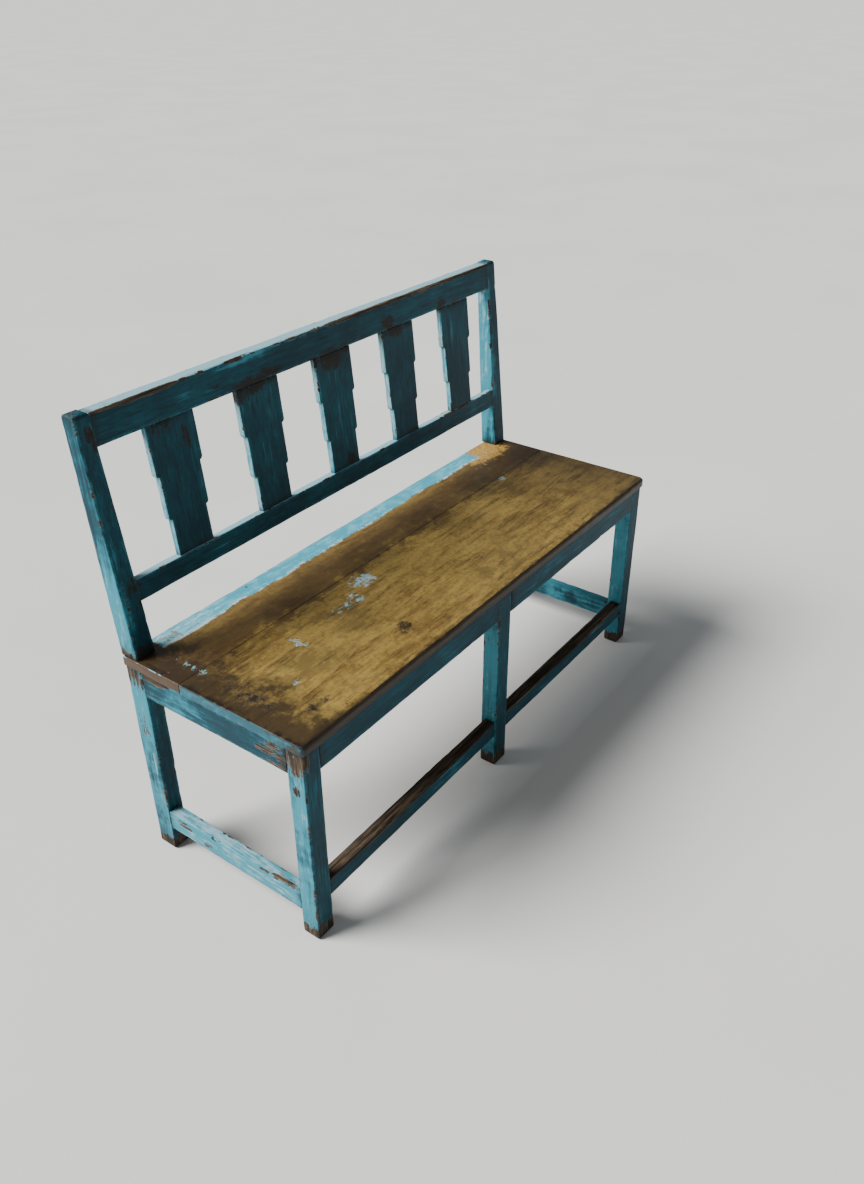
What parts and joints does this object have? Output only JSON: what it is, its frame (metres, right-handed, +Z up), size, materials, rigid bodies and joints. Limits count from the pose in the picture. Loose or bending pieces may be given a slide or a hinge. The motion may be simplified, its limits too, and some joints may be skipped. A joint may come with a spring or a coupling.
{
  "type": "painted wooden bench",
  "caption": "Long wooden bench with a leaning back of stepped flat splats, a plain plank seat and a middle front leg, in worn blue-green paint.",
  "frame": {"origin": "on the floor under the middle of the whole bench, back included", "axes": "+Z up, -Y towards the person who looks at the front, +X along the seat to that person's right"},
  "size_m": [1.184, 0.4623, 0.889],
  "materials": {
    "worn_paint": "worn matt blue-green paint over wood",
    "bare_seat_wood": "rubbed bare wood with old varnish",
    "peg_wood": "worn paint over end grain",
    "old_iron": "dull dark iron"
  },
  "bodies": {
    "root": {"front_leg_left": "worn_paint", "front_leg_middle": "worn_paint", "front_leg_right": "worn_paint", "rear_leg_left": "worn_paint", "rear_leg_right": "worn_paint", "back_post_left": "worn_paint", "back_post_right": "worn_paint", "back_top_rail": "worn_paint", "back_lower_rail": "worn_paint", "back_splat_1": "worn_paint", "back_splat_2": "worn_paint", "back_splat_3": "worn_paint", "back_splat_4": "worn_paint", "back_splat_5": "worn_paint", "front_apron_left": "worn_paint", "front_apron_right": "worn_paint", "rear_apron": "worn_paint", "end_apron_left": "worn_paint", "end_apron_right": "worn_paint", "side_stretcher_left": "worn_paint", "side_stretcher_right": "worn_paint", "front_stretcher_left": "worn_paint", "front_stretcher_right": "worn_paint", "seat_board_front": "bare_seat_wood", "seat_board_rear": "bare_seat_wood", "apron_pegs": "peg_wood", "stretcher_pegs": "peg_wood", "back_pegs": "peg_wood", "seat_nails": "old_iron"}
  },
  "joints": []
}
